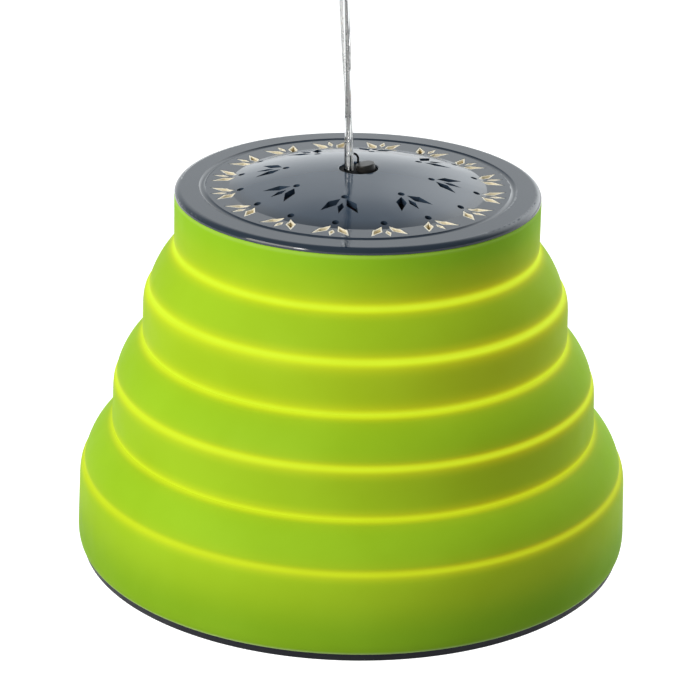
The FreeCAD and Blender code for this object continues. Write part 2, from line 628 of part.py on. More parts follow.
NODES = {
    "top_cap": lambda: [top_cap()],
    "vent_liner": lambda: [vent_liner()],
    "centre_bezel": lambda: [centre_bezel()],
    "push_button": lambda: [push_button()],
    "button_spring": lambda: [button_spring()],
    "switch_body": lambda: [switch_body()],
    "switch_leads": switch_leads,
    "retaining_loop": lambda: [retaining_loop()],
    "cord_bush": lambda: [cord_bush()],
    "supply_cord": lambda: [flex()],
    "flex_cores": flex_cores,
    "shade_wall_1": lambda: [top_wall()],
    "base_ring": lambda: [base_ring()],
    "light_tray": lambda: [light_tray()],
    "tray_screws": tray_screws,
    "driver_board": lambda: [driver_board()],
    "driver_screws": driver_screws,
    "driver_parts": driver_parts,
    "terminal_block": lambda: [terminal_block()],
    "led_board": lambda: [led_board()],
    "led_screws": led_screws,
    "led_chips": led_chips,
    "led_leads": led_leads,
    "diffuser": lambda: [diffuser()],
    "hanger_shell_front": lambda: [hanger_half(-1)],
    "hanger_shell_back": lambda: [hanger_half(1)],
    "hanger_screws": hanger_screws,
    "hanger_grip": lambda: [hanger_grip()],
    "hanger_leads": hanger_leads,
    "supply_inlet": lambda: [supply_inlet()],
    "inlet_pin": lambda: [inlet_pin()],
    "swivel_eye": lambda: [swivel_eye()],
}
for number in (1, 2, 3):
    NODES[f"fold_skin_{number}"] = lambda n=number: [fold_skin(n - 1)]
    NODES[f"shade_wall_{number + 1}"] = lambda n=number: [wall(n)]

if __name__ == "__main__":
    os.makedirs("parts", exist_ok=True)
    for node, make in NODES.items():
        save(node, *make())
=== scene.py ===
"""Looks of the folding pendant camping lantern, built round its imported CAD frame.

Lengths are in millimetres about the lamp's own axis, with z = 0 at the base ring's underside, unless a
comment says otherwise, and lamp() turns them into metres in the part's frame.
"""
import json
import math

import bpy
from mathutils import Matrix, Vector


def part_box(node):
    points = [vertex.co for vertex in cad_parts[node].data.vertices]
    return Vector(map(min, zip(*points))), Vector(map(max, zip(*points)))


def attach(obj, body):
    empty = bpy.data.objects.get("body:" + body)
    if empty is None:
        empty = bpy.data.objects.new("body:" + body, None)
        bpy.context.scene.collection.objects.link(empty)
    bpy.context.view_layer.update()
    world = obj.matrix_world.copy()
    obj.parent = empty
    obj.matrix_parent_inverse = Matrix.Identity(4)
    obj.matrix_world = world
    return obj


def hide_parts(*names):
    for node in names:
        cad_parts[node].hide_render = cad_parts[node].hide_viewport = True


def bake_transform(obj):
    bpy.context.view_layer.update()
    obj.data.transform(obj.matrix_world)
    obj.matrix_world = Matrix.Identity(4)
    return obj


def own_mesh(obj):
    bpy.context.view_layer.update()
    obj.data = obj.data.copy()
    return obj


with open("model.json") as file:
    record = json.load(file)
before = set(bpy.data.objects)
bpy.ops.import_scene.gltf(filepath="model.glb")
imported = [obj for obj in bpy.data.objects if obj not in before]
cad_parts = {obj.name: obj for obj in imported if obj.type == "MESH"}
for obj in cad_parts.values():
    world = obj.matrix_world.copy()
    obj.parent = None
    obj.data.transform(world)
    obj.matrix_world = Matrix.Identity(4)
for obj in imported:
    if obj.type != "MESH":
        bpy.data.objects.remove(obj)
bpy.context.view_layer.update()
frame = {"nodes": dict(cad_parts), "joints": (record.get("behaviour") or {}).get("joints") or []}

MM = 0.001
CAP_LOW, CAP_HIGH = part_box("top_cap")
AXIS_X = (CAP_LOW.x + CAP_HIGH.x) / 2
BASE_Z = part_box("base_ring")[0].z
DECK_Z = 176.1             # the cap's flat annulus
FLOOR_Z = 184.2            # the floor of the bezel's mouth, where the flex comes out


def lamp(x, y, z):
    """Place in the part's frame, in metres."""
    return Vector((AXIS_X + x * MM, y * MM, BASE_Z + z * MM))


# ---------------------------------------------------------------- camera

CAMERA_BACK, CAMERA_RISE = 1161.9, 567.1
PITCH, YAW, ROLL = math.radians(22.105), math.radians(-0.104), math.radians(-1.242)
LENS_MM = 137.4


def add_camera():
    """Camera in front of the lamp and above it, looking down."""
    right = Vector((math.cos(YAW), -math.sin(YAW), 0))
    up = Vector((math.sin(YAW) * math.sin(PITCH), math.cos(YAW) * math.sin(PITCH), math.cos(PITCH)))
    tilted_right = right * math.cos(ROLL) - up * math.sin(ROLL)
    tilted_up = right * math.sin(ROLL) + up * math.cos(ROLL)
    axes = Matrix((tilted_right, tilted_up, tilted_right.cross(tilted_up))).transposed()
    data = bpy.data.cameras.new("camera")
    data.lens = LENS_MM
    data.clip_start, data.clip_end = 0.05, 200
    camera = bpy.data.objects.new("camera", data)
    bpy.context.collection.objects.link(camera)
    camera.matrix_world = Matrix.Translation(lamp(0, -CAMERA_BACK, CAMERA_RISE)) @ axes.to_4x4()
    bpy.context.scene.camera = camera


add_camera()


# ---------------------------------------------------------------- mesh helpers

def mesh_object(name, verts, faces, smooth_angle=40, **floats):
    """A smooth-shaded mesh object; each extra keyword is a float attribute with one value per vertex."""
    mesh = bpy.data.meshes.new(name)
    mesh.from_pydata([tuple(v) for v in verts], [], faces)
    for key, values in floats.items():
        layer = mesh.attributes.new(key, "FLOAT", "POINT")
        layer.data.foreach_set("value", values)
    mesh.validate()
    mesh.shade_smooth()
    mesh.set_sharp_from_angle(angle=math.radians(smooth_angle))
    thing = bpy.data.objects.new(name, mesh)
    bpy.context.collection.objects.link(thing)
    return thing


def ring_faces(rings, around, loop=False):
    """Quads between rings of vertices; loop joins the last ring to the first, else the ends are closed."""
    faces = []
    spans = rings if loop else rings - 1
    for i in range(spans):
        a, b = i * around, ((i + 1) % rings) * around
        for j in range(around):
            k = (j + 1) % around
            faces.append((a + j, a + k, b + k, b + j))
    if not loop:
        faces.append(tuple(reversed(range(around))))
        faces.append(tuple(range((rings - 1) * around, rings * around)))
    return faces


def revolved(name, section, segments, smooth_angle=40, **floats):
    """Closed section of (radius, z) points in millimetres, turned about the lamp's axis."""
    verts, layers = [], {key: [] for key in floats}
    for j in range(segments):
        turn = 2 * math.pi * j / segments
        verts += [lamp(r * math.cos(turn), r * math.sin(turn), z) for r, z in section]
        for key, values in floats.items():
            layers[key] += values
    faces = [tuple(reversed(face)) for face in ring_faces(segments, len(section), loop=True)]
    return mesh_object(name, verts, faces, smooth_angle, **layers)


def along(points, i):
    """Direction of a line of points at its i-th point."""
    return (points[min(i + 1, len(points) - 1)] - points[max(i - 1, 0)]).normalized()


def swept(name, points, section, twist, smooth_angle=40):
    """A line of points with a section about each; section(i) is a list of (side, depth) in metres."""
    verts = []
    for i, point in enumerate(points):
        ahead = along(points, i)
        side = Vector((1, 0, 0))
        side = (side - ahead * side.dot(ahead)).normalized()
        depth = ahead.cross(side)
        turn = twist(point)
        wide = side * math.cos(turn) + depth * math.sin(turn)
        deep = depth * math.cos(turn) - side * math.sin(turn)
        verts += [point + wide * u + deep * v for u, v in section(i)]
    return mesh_object(name, verts, ring_faces(len(points), len(section(0))), smooth_angle)


def circle(radius, count, centre):
    """Points round a centre, in the plane of a section."""
    return [(centre[0] + radius * math.cos(2 * math.pi * k / count),
             centre[1] + radius * math.sin(2 * math.pi * k / count)) for k in range(count)]


def curve_mesh(name, kind, places, radius=0.0):
    """Mesh of a curve, NURBS or POLY, with the places as its points: its middle line, or a round wire."""
    curve = bpy.data.curves.new(name, "CURVE")
    curve.dimensions = "3D"
    curve.resolution_u = 48
    curve.bevel_depth = radius
    curve.bevel_resolution = 3
    curve.use_fill_caps = True
    spline = curve.splines.new(kind)
    spline.points.add(len(places) - 1)
    for point, place in zip(spline.points, places):
        point.co = (*place, 1)
    spline.order_u = 3
    spline.use_endpoint_u = True
    drawn = bpy.data.objects.new(name, curve)
    bpy.context.collection.objects.link(drawn)
    mesh = bpy.data.meshes.new_from_object(drawn.evaluated_get(bpy.context.evaluated_depsgraph_get()))
    bpy.data.objects.remove(drawn)
    bpy.data.curves.remove(curve)
    return mesh


# ---------------------------------------------------------------- material helpers

def new_material(name):
    """A new material, with its nodes, links and main shader."""
    material = bpy.data.materials.new(name)
    material.use_nodes = True
    tree = material.node_tree
    return material, tree.nodes, tree.links, tree.nodes["Principled BSDF"]


def noise(nodes, links, scale, detail=3.0, roughness=0.5, stretch=None):
    """Noise over the piece's own coordinates, which are metres."""
    where = nodes.new("ShaderNodeTexCoord").outputs["Object"]
    if stretch:
        mapping = nodes.new("ShaderNodeMapping")
        mapping.inputs["Scale"].default_value = stretch
        links.new(where, mapping.inputs["Vector"])
        where = mapping.outputs["Vector"]
    texture = nodes.new("ShaderNodeTexNoise")
    texture.inputs["Scale"].default_value = scale
    texture.inputs["Detail"].default_value = detail
    texture.inputs["Roughness"].default_value = roughness
    links.new(where, texture.inputs["Vector"])
    return texture.outputs["Fac"]


def rest_height(nodes, links):
    """Height of a point in the part's frame, at rest."""
    place = nodes.new("ShaderNodeSeparateXYZ")
    links.new(nodes.new("ShaderNodeTexCoord").outputs["Object"], place.inputs["Vector"])
    return place.outputs["Z"]


def attribute(nodes, name):
    """A float attribute of the mesh."""
    node = nodes.new("ShaderNodeAttribute")
    node.attribute_name = name
    return node.outputs["Fac"]


def mixed(nodes, links, share, a, b):
    """Colour a, with this share of colour b."""
    node = nodes.new("ShaderNodeMix")
    node.data_type = "RGBA"
    for key, value in (("Factor", share), ("A", a), ("B", b)):
        links.new(value, node.inputs[key])
    return node.outputs["Result"]


def ramp(nodes, links, value, stops):
    """Colour ramp; stops are (position, colour)."""
    node = nodes.new("ShaderNodeValToRGB")
    elements = node.color_ramp.elements
    while len(elements) < len(stops):
        elements.new(0.5)
    for element, (position, colour) in zip(elements, stops):
        element.position = position
        element.color = (*colour, 1)
    links.new(value, node.inputs["Fac"])
    return node.outputs["Color"]


def cloudy(nodes, links, value, low, high):
    """Colour that wanders from low to high with a noise value."""
    return ramp(nodes, links, value, [(0.3, low), (0.7, high)])


def spread(nodes, links, value, low, high, start=0.3, end=0.7):
    """Value between start and end turned into a number between low and high."""
    node = nodes.new("ShaderNodeMapRange")
    for key, number in (("From Min", start), ("From Max", end), ("To Min", low), ("To Max", high)):
        node.inputs[key].default_value = number
    links.new(value, node.inputs["Value"])
    return node.outputs["Result"]


def shaded(nodes, links, colour, level):
    """Colour times a level."""
    node = nodes.new("ShaderNodeVectorMath")
    node.operation = "SCALE"
    links.new(colour, node.inputs[0])
    links.new(level, node.inputs["Scale"])
    return node.outputs["Vector"]


def bump(nodes, links, shader, height, strength, distance):
    """Fine relief on a shader; distance is its depth in metres."""
    node = nodes.new("ShaderNodeBump")
    node.inputs["Strength"].default_value = strength
    node.inputs["Distance"].default_value = distance
    links.new(height, node.inputs["Height"])
    links.new(node.outputs["Normal"], shader.inputs["Normal"])


def scaled(colour, factor):
    """Colour times a number, as a plain colour."""
    return tuple(min(1.0, channel * factor) for channel in colour)


def moulded(name, colour, roughness, grain=1500, depth=0.00002, vary=0.08, metallic=0.0, glow=None):
    """A moulded or metal surface: cloudy colour, uneven gloss and a fine grain."""
    material, nodes, links, shader = new_material(name)
    cloud = noise(nodes, links, 45, 4)
    fine = noise(nodes, links, grain, 2)
    links.new(cloudy(nodes, links, cloud, scaled(colour, 1 - vary), scaled(colour, 1 + vary)),
              shader.inputs["Base Color"])
    links.new(spread(nodes, links, noise(nodes, links, 160, 3), roughness * 0.85, roughness * 1.2),
              shader.inputs["Roughness"])
    bump(nodes, links, shader, fine, 0.35, depth)
    shader.inputs["Metallic"].default_value = metallic
    if glow:
        tint, strength = glow
        links.new(cloudy(nodes, links, cloud, scaled(tint, 0.94), scaled(tint, 1.06)),
                  shader.inputs["Emission Color"])
        shader.inputs["Emission Strength"].default_value = strength
    return material


def soft_black(name, colour, roughness, gloss):
    """Black plastic with little gloss, for what reads black even under a bright sky."""
    material = moulded(name, colour, roughness, grain=1200, depth=0.00003, vary=0.15)
    material.node_tree.nodes["Principled BSDF"].inputs["Specular IOR Level"].default_value = gloss
    return material


def paint(material, *things):
    """Give things this material and no other."""
    for thing in things:
        thing.data.materials.clear()
        thing.data.materials.append(material)


# ---------------------------------------------------------------- flex

FLEX_X, FLEX_EXIT_Z = -4.4, FLOOR_Z
FLEX_LEAN = math.radians(2.8)
FLEX_WIDE, FLEX_THICK = 4.6, 3.2
WAIST_DEPTH, WAIST_HALF = 0.10, 0.28    # shares of the flex's thickness and of its width
LOBE_SPLIT = 3.0                        # how sharply the two lobes part
FLEX_LOW, FLEX_TOP = 178.0, 281.0
TIN_NEAR_CAP_Z, TIN_PAINTED_Z = 192.0, 210.0      # heights between which the tin turns from its brightness near the cap to its painted light and shade higher up
FLAT_Z, QUARTER_TURN = 265.0, 50.0      # where the flat side faces front, and the height of a quarter twist
# Each core's place across the flex, and the brightness of its tin up the flex and near the cap: painted
# light and shade, the left core painted lit and the right one shaded, nearly alike near the cap.
CORES = (("flex_core_left", -1.25, 0.82, 0.95), ("flex_core_right", 0.66, 0.38, 1.0))
WIRES_PER_CORE = 6


def flex_at(z, aside=0.0):
    """Place on the flex's leaning line, or a little to its right."""
    return lamp(FLEX_X - (z - FLEX_EXIT_Z) * math.tan(FLEX_LEAN) + aside, 0, z)


# Taut, with the slight set to the right that a flex keeps from its coil.
FLEX_ROUTE = [flex_at(FLEX_LOW), flex_at(204.0, 0.45), flex_at(230.0, 0.60), flex_at(256.0, 0.40),
              flex_at(FLEX_TOP)]


def flex_line():
    """Points along the smooth line of the flex's route."""
    mesh = curve_mesh("flex_route", "NURBS", FLEX_ROUTE)
    points = [vertex.co.copy() for vertex in mesh.vertices]
    bpy.data.meshes.remove(mesh)
    return points


def flex_twist(point):
    """Turn of the flat flex at a point, a steady twist."""
    return ((point.z - BASE_Z) / MM - FLAT_Z) / QUARTER_TURN * math.pi / 2


def sheath_section(_, around=40):
    """Two round lobes with a shallow waist between them, the same at every point."""
    lobe, offset = FLEX_THICK / 2, (FLEX_WIDE - FLEX_THICK) / 2
    outline = []
    for k in range(around):
        turn = 2 * math.pi * k / around
        waist = 1 - WAIST_DEPTH * math.exp(-(math.cos(turn) / WAIST_HALF) ** 2)
        aside = lobe * math.cos(turn) + offset * math.tanh(LOBE_SPLIT * math.cos(turn))
        outline.append((aside * MM, lobe * math.sin(turn) * waist * MM))
    return outline


def strand(name, points, centre, phase, lay=9.0, orbit=0.36, radius=0.20, sides=8):
    """One wire of a stranded core: a helix about the core, which itself twists with the flat flex.

    lay is the height of one turn, orbit the helix's radius and radius the wire's own.
    """
    def section(i):
        turn = phase + 2 * math.pi * (points[i].z - BASE_Z) / MM / lay
        middle = ((centre + orbit * math.cos(turn)) * MM, orbit * math.sin(turn) * MM)
        return circle(radius * MM, sides, middle)
    return swept(name, points, section, flex_twist, 60)


def joined(name, things):
    """Join objects into the first of them, and give it this name."""
    for thing in bpy.context.selected_objects:
        thing.select_set(False)
    for thing in things:
        thing.select_set(True)
    bpy.context.view_layer.objects.active = things[0]
    bpy.ops.object.join()
    things[0].name = name
    things[0].select_set(False)
    return things[0]


def clear_pvc():
    """Clear flexible plastic, with painted shade where it is seen edge-on."""
    material, nodes, links, shader = new_material("clear_pvc")
    links.new(spread(nodes, links, noise(nodes, links, 300, 2), 0.03, 0.09), shader.inputs["Roughness"])
    rim = nodes.new("ShaderNodeLayerWeight")
    tint = cloudy(nodes, links, noise(nodes, links, 60, 3), (0.86, 0.87, 0.87), (0.93, 0.94, 0.94))
    # painted shade at the rim, where the flex is seen edge-on
    edge = spread(nodes, links, rim.outputs["Facing"], 1.0, 0.62, 0.35, 0.80)
    links.new(shaded(nodes, links, tint, edge), shader.inputs["Base Color"])
    bump(nodes, links, shader, noise(nodes, links, 420, 2, stretch=(1, 1, 0.15)), 0.3, 0.00004)
    shader.inputs["Transmission Weight"].default_value = 1.0
    shader.inputs["IOR"].default_value = 1.5
    return material


def bare_wire(name, level, near_cap_level):
    """Tinned copper, the copper showing through in places; its brightness is painted light and shade, one
    level up the flex and another near the cap.
    """
    material, nodes, links, shader = new_material(name)
    stain = noise(nodes, links, 260, 4)
    tin = (0.97 * near_cap_level, 0.985 * near_cap_level, near_cap_level)
    copper = scaled((0.70, 0.50, 0.36), near_cap_level / level)
    # painted light and shade, changing with height up the flex
    painted_light_by_height = spread(nodes, links, rest_height(nodes, links), 1.0, level / near_cap_level,
                    BASE_Z + TIN_NEAR_CAP_Z * MM, BASE_Z + TIN_PAINTED_Z * MM)
    tint = ramp(nodes, links, stain, [(0.35, scaled(tin, 0.92)), (0.64, tin), (0.76, copper)])
    links.new(shaded(nodes, links, tint, painted_light_by_height), shader.inputs["Base Color"])
    links.new(spread(nodes, links, stain, 0.20, 0.36), shader.inputs["Roughness"])
    bump(nodes, links, shader, noise(nodes, links, 2500, 2), 0.3, 0.00002)
    shader.inputs["Metallic"].default_value = 1.0
    return material


def add_flex():
    """Clear sheath and its two bare cores, taut from the bezel up to the hanger."""
    points = flex_line()
    sheath = swept("flex_sheath", points, sheath_section, flex_twist)
    paint(clear_pvc(), sheath)
    cores = []
    phases = [2 * math.pi * k / WIRES_PER_CORE for k in range(WIRES_PER_CORE)]
    for name, centre, level, near_cap_level in CORES:
        wires = [strand("wire", points, centre, phase) for phase in phases]
        cores.append(joined(name, wires))
        paint(bare_wire(f"tinned_{name}", level, near_cap_level), cores[-1])
    for piece in (sheath, *cores):
        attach(piece, "lamp")
    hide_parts("supply_cord")


add_flex()


# ---------------------------------------------------------------- shade

WALLS = [                  # crest, shoulder and foot of each wall, as (radius, height)
    ((84.1, 173.1), (84.1, 165.0), (84.3, 148.5)),
    ((96.3, 128.4), (98.8, 119.2), (99.2, 104.7)),
    ((111.8, 85.1), (113.2, 75.0), (113.9, 61.4)),
    ((127.3, 42.1), (129.4, 33.0), (130.4, 9.0)),
]
LIP_TOP = WALLS[0][0][1]
HEM = (129.1, 3.8)
SKIN_BULGES = [1.5, 1.9, 2.3]
STEP = 0.7                 # spacing of points along the section
TURNS = 288                # points around
HEM_STEPS = 8              # points round the hem
WALL_T, SKIN_T, FOLD_T = 2.4, 1.8, 1.5
FOLD_DEPTH, FOLD_HALF = 0.45, 1.4       # how far a fold line dips, and its half width
FOLD_THIN_HALF = 2.0       # half width of the thinner silicone at a fold line
MEET_HALF = 2.0            # how soon a piece's upper end turns its wall level, to meet the piece above
ZONE_PASSES, LINE_PASSES = 4, 5         # how much the section's corners relax
HEM_LINE, LIP_LINE = 0.8, 0.45          # heights of the painted highlights, pale lines along the edges at the base ring and under the cap
# strength of the painted highlight under the cap, and its height
LIP_HIGHLIGHT, LIP_LINE_Z = 0.3, LIP_TOP - 1.0
LIP_ROUND, LIP_ROUND_HALF = 0.5, 0.5    # round of the silicone's upper edge
BACKED_SHADE, BACKED_TOP, BACKED_LOW = 0.24, 40.0, 8.0    # painted shade: up to this much darker, from none at the top height to all of it at the low one, where the base band backs the silicone
INNER_GLOW = 0.5           # share of the outer face's glow on the inner face


def straight(a, b):
    """Evenly spaced points from a to b."""
    count = max(2, round(math.dist(a, b) / STEP))
    return [(a[0] + (b[0] - a[0]) * i / count, a[1] + (b[1] - a[1]) * i / count) for i in range(count + 1)]


def domed(a, b, bulge):
    """From a to b, standing out by bulge halfway."""
    reach, drop = b[0] - a[0], a[1] - b[1]
    length = math.hypot(reach, drop)
    points = straight(a, b)
    last = len(points) - 1
    outward = [4 * bulge * (i / last) * (1 - i / last) for i in range(last + 1)]
    return [(r + out * drop / length, z + out * reach / length) for out, (r, z) in zip(outward, points)]


def rounded_shoulder(crest, shoulder):
    """A quarter of an ellipse from the crest to the shoulder."""
    count = max(4, round(math.dist(crest, shoulder) / STEP))
    reach, drop = shoulder[0] - crest[0], crest[1] - shoulder[1]
    turns = [math.pi / 2 * i / count for i in range(count + 1)]
    return [(crest[0] + reach * math.sin(t), shoulder[1] + drop * math.cos(t)) for t in turns]


def hem_round(foot):
    """A quarter of an ellipse from the lowest wall's foot to the hem."""
    reach, drop = foot[0] - HEM[0], foot[1] - HEM[1]
    turns = [math.pi / 2 * i / HEM_STEPS for i in range(HEM_STEPS + 1)]
    return [(HEM[0] + reach * math.cos(t), foot[1] - drop * math.sin(t)) for t in turns]


def outer_line(index):
    """Outer line of the shade piece that crosses fold `index`, and the places of its fold lines.

    The line is a list of ((r, z), zone), with zone 0 on walls and 1 on skins.
    """
    foot = WALLS[index][2]
    crest, shoulder, next_foot = WALLS[index + 1]
    stretches = []
    if index == 0:
        stretches += [(straight(WALLS[0][0], foot), 0.0)]
    stretches += [(domed(foot, crest, SKIN_BULGES[index]), 1.0), (rounded_shoulder(crest, shoulder), 0.0),
                  (straight(shoulder, next_foot), 0.0)]
    folds = [foot, crest]
    if index == 2:
        stretches += [(hem_round(next_foot), 0.0)]
    else:
        folds.append(next_foot)
    line = []
    for points, zone in stretches:
        line += [(point, zone) for point in (points if not line else points[1:])]
    return line, folds


def smoothed(values, passes):
    """Relax a list of numbers or points, its two ends held."""
    for _ in range(passes):
        inner = [(a + 2 * b + c) / 4 for a, b, c in zip(values, values[1:], values[2:])]
        values = [values[0], *inner, values[-1]]
    return values


def smooth_between(value, start, end):
    """0 before start, 1 after end, and a smooth S between them."""
    t = min(1.0, max(0.0, (value - start) / (end - start)))
    return t * t * (3 - 2 * t)


def bell(distance, half):
    """1 at no distance, fading smoothly with it."""
    return math.exp(-(distance / half) ** 2)


def shade_section(index):
    """Closed section of one shade piece, and each point's painted light from inside, painted highlight and
    painted shade.
    """
    line, folds = outer_line(index)
    points = [Vector(point) for point, _ in line]
    zone = smoothed([zone for _, zone in line], ZONE_PASSES)
    corners = [min(range(len(points)), key=lambda i: (points[i] - Vector(fold)).length) for fold in folds]
    travelled = [0.0]
    for a, b in zip(points, points[1:]):
        travelled.append(travelled[-1] + (b - a).length)
    nearest = [min(abs(s - travelled[c]) for c in corners) for s in travelled]
    points = smoothed(points, LINE_PASSES)
    outer, inner, glow, hem, painted_shade = [], [], [], [], []
    for i, point in enumerate(points):
        ahead = along(points, i)
        normal = Vector((-ahead.y, ahead.x))
        if index == 0:
            point = point - Vector((LIP_ROUND * bell(travelled[i], LIP_ROUND_HALF), 0))
        if index > 0:
            normal = normal.lerp(Vector((1, 0)), math.exp(-travelled[i] / MEET_HALF)).normalized()
        gap = nearest[i]
        thick = WALL_T + (SKIN_T - WALL_T) * zone[i]
        thick += (FOLD_T - thick) * bell(gap, FOLD_THIN_HALF)
        face = point - normal * (FOLD_DEPTH * bell(gap, FOLD_HALF))
        outer.append((face.x, face.y))
        back = face - normal * thick
        inner.append((back.x, face.y if i in (0, len(points) - 1) else back.y))
        glow.append(fold_glow(gap, zone[i], point.y))
        # hem attribute: painted highlights, a pale line along the hem and a fainter one under the cap
        hem.append(bell(point.y - HEM[1], HEM_LINE) + LIP_HIGHLIGHT * bell(point.y - LIP_LINE_Z, LIP_LINE))
        # painted shade, darker towards the base band
        painted_shade.append(1 - BACKED_SHADE * smooth_between(point.y, BACKED_TOP, BACKED_LOW))
    return outer + inner[::-1], {
        "glow": glow + [INNER_GLOW * lit for lit in glow[::-1]],
        "hem": hem + [0.0] * len(hem),
        "painted_shade": painted_shade + painted_shade[::-1]}


WALL_LIGHT, SKIN_LOSS, TOP_SKIN_GAIN = 0.30, 0.16, 0.10
SECOND_WALL_GAIN, SECOND_WALL_Z, SECOND_WALL_HALF = 0.05, 115.0, 18.0
HALO_LIGHT, HALO_HALF = 0.34, 4.4       # soft light about a fold line
LINE_LIGHT, LINE_HALF = 0.40, 1.7       # its bright core
LAST_LINE_SHARE, LOW_SHARE = 0.84, 0.80     # what is left of it at the lowest fold line, and near the base
# Pairs of heights between which the light changes.
TOP_SKIN, LAST_LINE, RISE = (95.0, 125.0), (45.0, 62.0), (30.0, 150.0)
UNDER_CAP, OVER_BASE = (170.0, 156.0), (11.0, 34.0)


def fold_glow(gap, zone, z):
    """Light through the silicone: brightest in the fold lines, weak on skins, none at cap and base ring."""
    lit = WALL_LIGHT - (SKIN_LOSS - TOP_SKIN_GAIN * smooth_between(z, *TOP_SKIN)) * zone
    lit += SECOND_WALL_GAIN * bell(z - SECOND_WALL_Z, SECOND_WALL_HALF)
    crease = HALO_LIGHT * bell(gap, HALO_HALF) + LINE_LIGHT * bell(gap, LINE_HALF)
    lit += crease * (LAST_LINE_SHARE + (1 - LAST_LINE_SHARE) * smooth_between(z, *LAST_LINE))
    rise = LOW_SHARE + (1 - LOW_SHARE) * smooth_between(z, *RISE)
    return min(1.0, lit) * rise * smooth_between(z, *UNDER_CAP) * smooth_between(z, *OVER_BASE)


def silicone():
    """Lime silicone, satin, with painted light from inside, painted highlights along its edges and painted
    shade low down, where its three attributes say.
    """
    material, nodes, links, shader = new_material("lime_silicone")
    glow = attribute(nodes, "glow")
    tint = cloudy(nodes, links, noise(nodes, links, 28, 4), (0.300, 0.575, 0.016), (0.325, 0.615, 0.021))
    # glow_line_tint: darker base colour where the painted glow is strongest, part of the painted light of
    # the fold lines
    glow_line_tint = cloudy(nodes, links, noise(nodes, links, 60, 4), (0.15, 0.29, 0.008), (0.18, 0.33, 0.012))
    # pale: colour of the painted highlights
    pale = cloudy(nodes, links, noise(nodes, links, 120, 3), (0.52, 0.76, 0.22), (0.60, 0.84, 0.30))
    # painted shade low on the shade, where the base band backs it
    painted_shade_tint = shaded(nodes, links, tint, attribute(nodes, "painted_shade"))
    base = mixed(nodes, links, spread(nodes, links, glow, 0.0, 1.0, 0.5, 1.0), painted_shade_tint, glow_line_tint)
    links.new(mixed(nodes, links, attribute(nodes, "hem"), base, pale), shader.inputs["Base Color"])
    lit = ramp(nodes, links, glow,
               [(0.0, (0.0, 0.0, 0.0)), (0.30, (0.070, 0.020, 0.0)), (0.50, (0.20, 0.09, 0.0)),
                (0.75, (0.42, 0.38, 0.006)), (1.0, (0.56, 0.64, 0.022))])
    links.new(lit, shader.inputs["Emission Color"])
    shader.inputs["Emission Strength"].default_value = 1.0
    links.new(spread(nodes, links, noise(nodes, links, 90, 4), 0.52, 0.62), shader.inputs["Roughness"])
    bump(nodes, links, shader, noise(nodes, links, 1400, 3), 0.25, 0.00003)
    shader.inputs["Specular IOR Level"].default_value = 0.04
    return material


def add_shade():
    """The silicone moulding, as three pieces that each cross one fold."""
    skin = silicone()
    replaced = [("shade_wall_1", "fold_skin_1", "shade_wall_2"), ("fold_skin_2", "shade_wall_3"),
                ("fold_skin_3", "shade_wall_4")]
    for index, nodes in enumerate(replaced):
        section, floats = shade_section(index)
        piece = revolved(f"shade_step_{index + 1}", section, TURNS, 50, **floats)
        paint(skin, piece)
        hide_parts(*nodes)
        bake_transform(piece)


add_shade()


# ---------------------------------------------------------------- base band

BAND_OUT, BAND_IN, BAND_T = 128.3, 121.5, 2.2
BAND_EASE, BAND_IN_EASE = 0.8, 0.4       # rounds of the lower edges, outer and inner
BEVEL = 0.3
UPSTAND_OUT, UPSTAND_IN, UPSTAND_TOP = 126.2, 124.0, 11.0
UPSTAND_BEVEL = 0.5
UNDER_HEM = 0.1            # gap between the band's lip and the silicone's hem


def eased_corner(r, z, radius, side_r, side_z, steps=5):
    """Round of a corner at (r, z); side_r and side_z say which way the material lies."""
    turns = [math.pi / 2 * i / steps for i in range(steps + 1)]
    return [(r + side_r * radius * (1 - math.cos(t)), z + side_z * radius * (1 - math.sin(t)))
            for t in turns]


def add_base_band():
    """Stiff black ring in the hem, smooth all round."""
    under = HEM[1] - UNDER_HEM
    section = [(HEM[0] - 2 * UNDER_HEM, under)]
    section += eased_corner(BAND_OUT, 0.0, BAND_EASE, -1, 1)
    section += eased_corner(BAND_IN, 0.0, BAND_IN_EASE, 1, 1)[::-1]
    section += [(BAND_IN, BAND_T - BEVEL), (BAND_IN + BEVEL, BAND_T)]
    section += [(UPSTAND_IN - UPSTAND_BEVEL, BAND_T), (UPSTAND_IN, BAND_T + UPSTAND_BEVEL)]
    section += [(UPSTAND_IN, UPSTAND_TOP - UPSTAND_BEVEL), (UPSTAND_IN + UPSTAND_BEVEL, UPSTAND_TOP)]
    section += [(UPSTAND_OUT - UPSTAND_BEVEL, UPSTAND_TOP), (UPSTAND_OUT, UPSTAND_TOP - UPSTAND_BEVEL)]
    section += [(UPSTAND_OUT, under)]
    band = revolved("base_band", section[::-1], TURNS, 40)
    paint(soft_black("base_black", (0.012, 0.013, 0.018), 0.5, 0.12), band)
    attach(band, "wall_4")
    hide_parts("base_ring")


add_base_band()


# ---------------------------------------------------------------- button spring

BUTTON_X = 3.5
SPRING_SEAT, SPRING_TOP = -8.9, -3.5     # along the button's axis, from the bezel's floor
SPRING_R, SPRING_WIRE_R, SPRING_TURNS = 2.5, 0.3, 4


def helix(origin, across, up, per_turn=16):
    """Middle line of the spring's wire, with up the button's axis and across a direction square to it."""
    count = SPRING_TURNS * per_turn
    low, high = SPRING_SEAT + SPRING_WIRE_R, SPRING_TOP - SPRING_WIRE_R
    points = []
    for i in range(count + 1):
        turn = 2 * math.pi * i / per_turn
        side = across * math.cos(turn) + up.cross(across) * math.sin(turn)
        points.append(origin + (side * SPRING_R + up * (low + (high - low) * i / count)) * MM)
    return points


